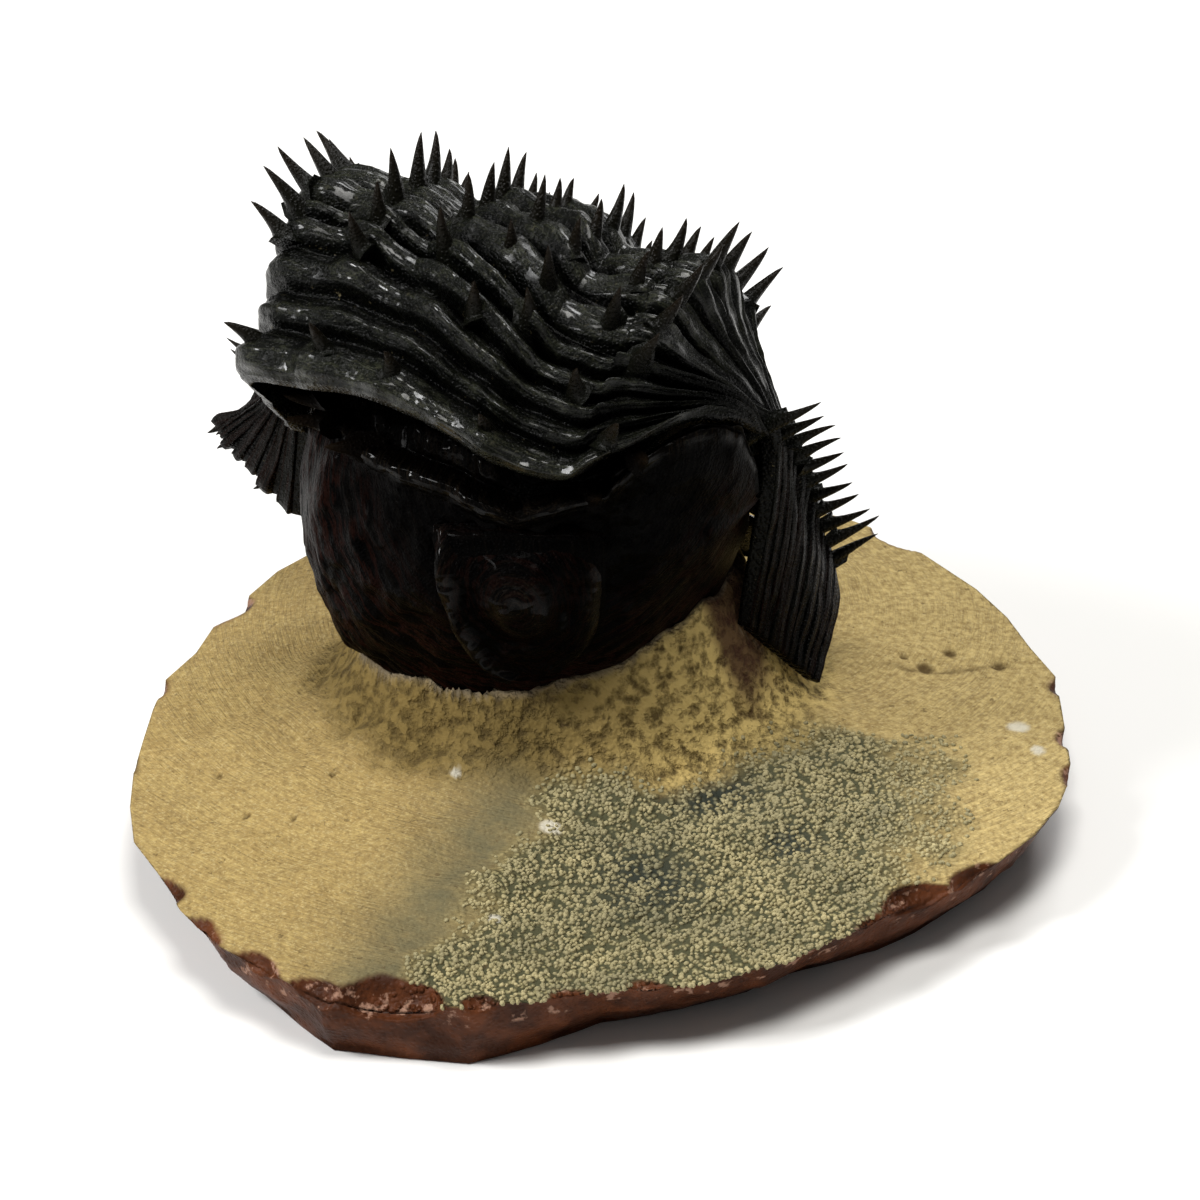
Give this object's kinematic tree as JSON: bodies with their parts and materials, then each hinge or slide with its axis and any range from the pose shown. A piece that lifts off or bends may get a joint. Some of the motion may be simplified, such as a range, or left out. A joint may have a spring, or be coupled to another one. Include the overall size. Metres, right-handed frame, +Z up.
{
  "type": "fossil trilobite",
  "caption": "Rolled-up spiny trilobite fossil on a limestone pedestal, with a fan of ribs, rows of thorns, a bowl-like head shield and hanging rib ends.",
  "frame": {"origin": "middle of the flat underside of the rock, on the surface it rests on", "axes": "+Z up, -Y towards the front, where the bowl of the head shield faces, +X to the viewer's right"},
  "size_m": [0.1179, 0.1216, 0.085],
  "materials": {
    "fossil_shell": "semi-gloss near-black calcite",
    "limestone": "rough tan limestone with a dark red-brown chipped rim"
  },
  "bodies": {
    "root": {"thorax_segment_01": "fossil_shell", "thorax_segment_02": "fossil_shell", "thorax_segment_03": "fossil_shell", "thorax_segment_04": "fossil_shell", "thorax_segment_05": "fossil_shell", "thorax_segment_06": "fossil_shell", "thorax_segment_07": "fossil_shell", "thorax_segment_08": "fossil_shell", "thorax_segment_09": "fossil_shell", "thorax_segment_10": "fossil_shell", "thorax_segment_11": "fossil_shell", "pygidium": "fossil_shell", "cephalon": "fossil_shell", "hypostome": "fossil_shell", "matrix": "limestone"}
  },
  "joints": []
}
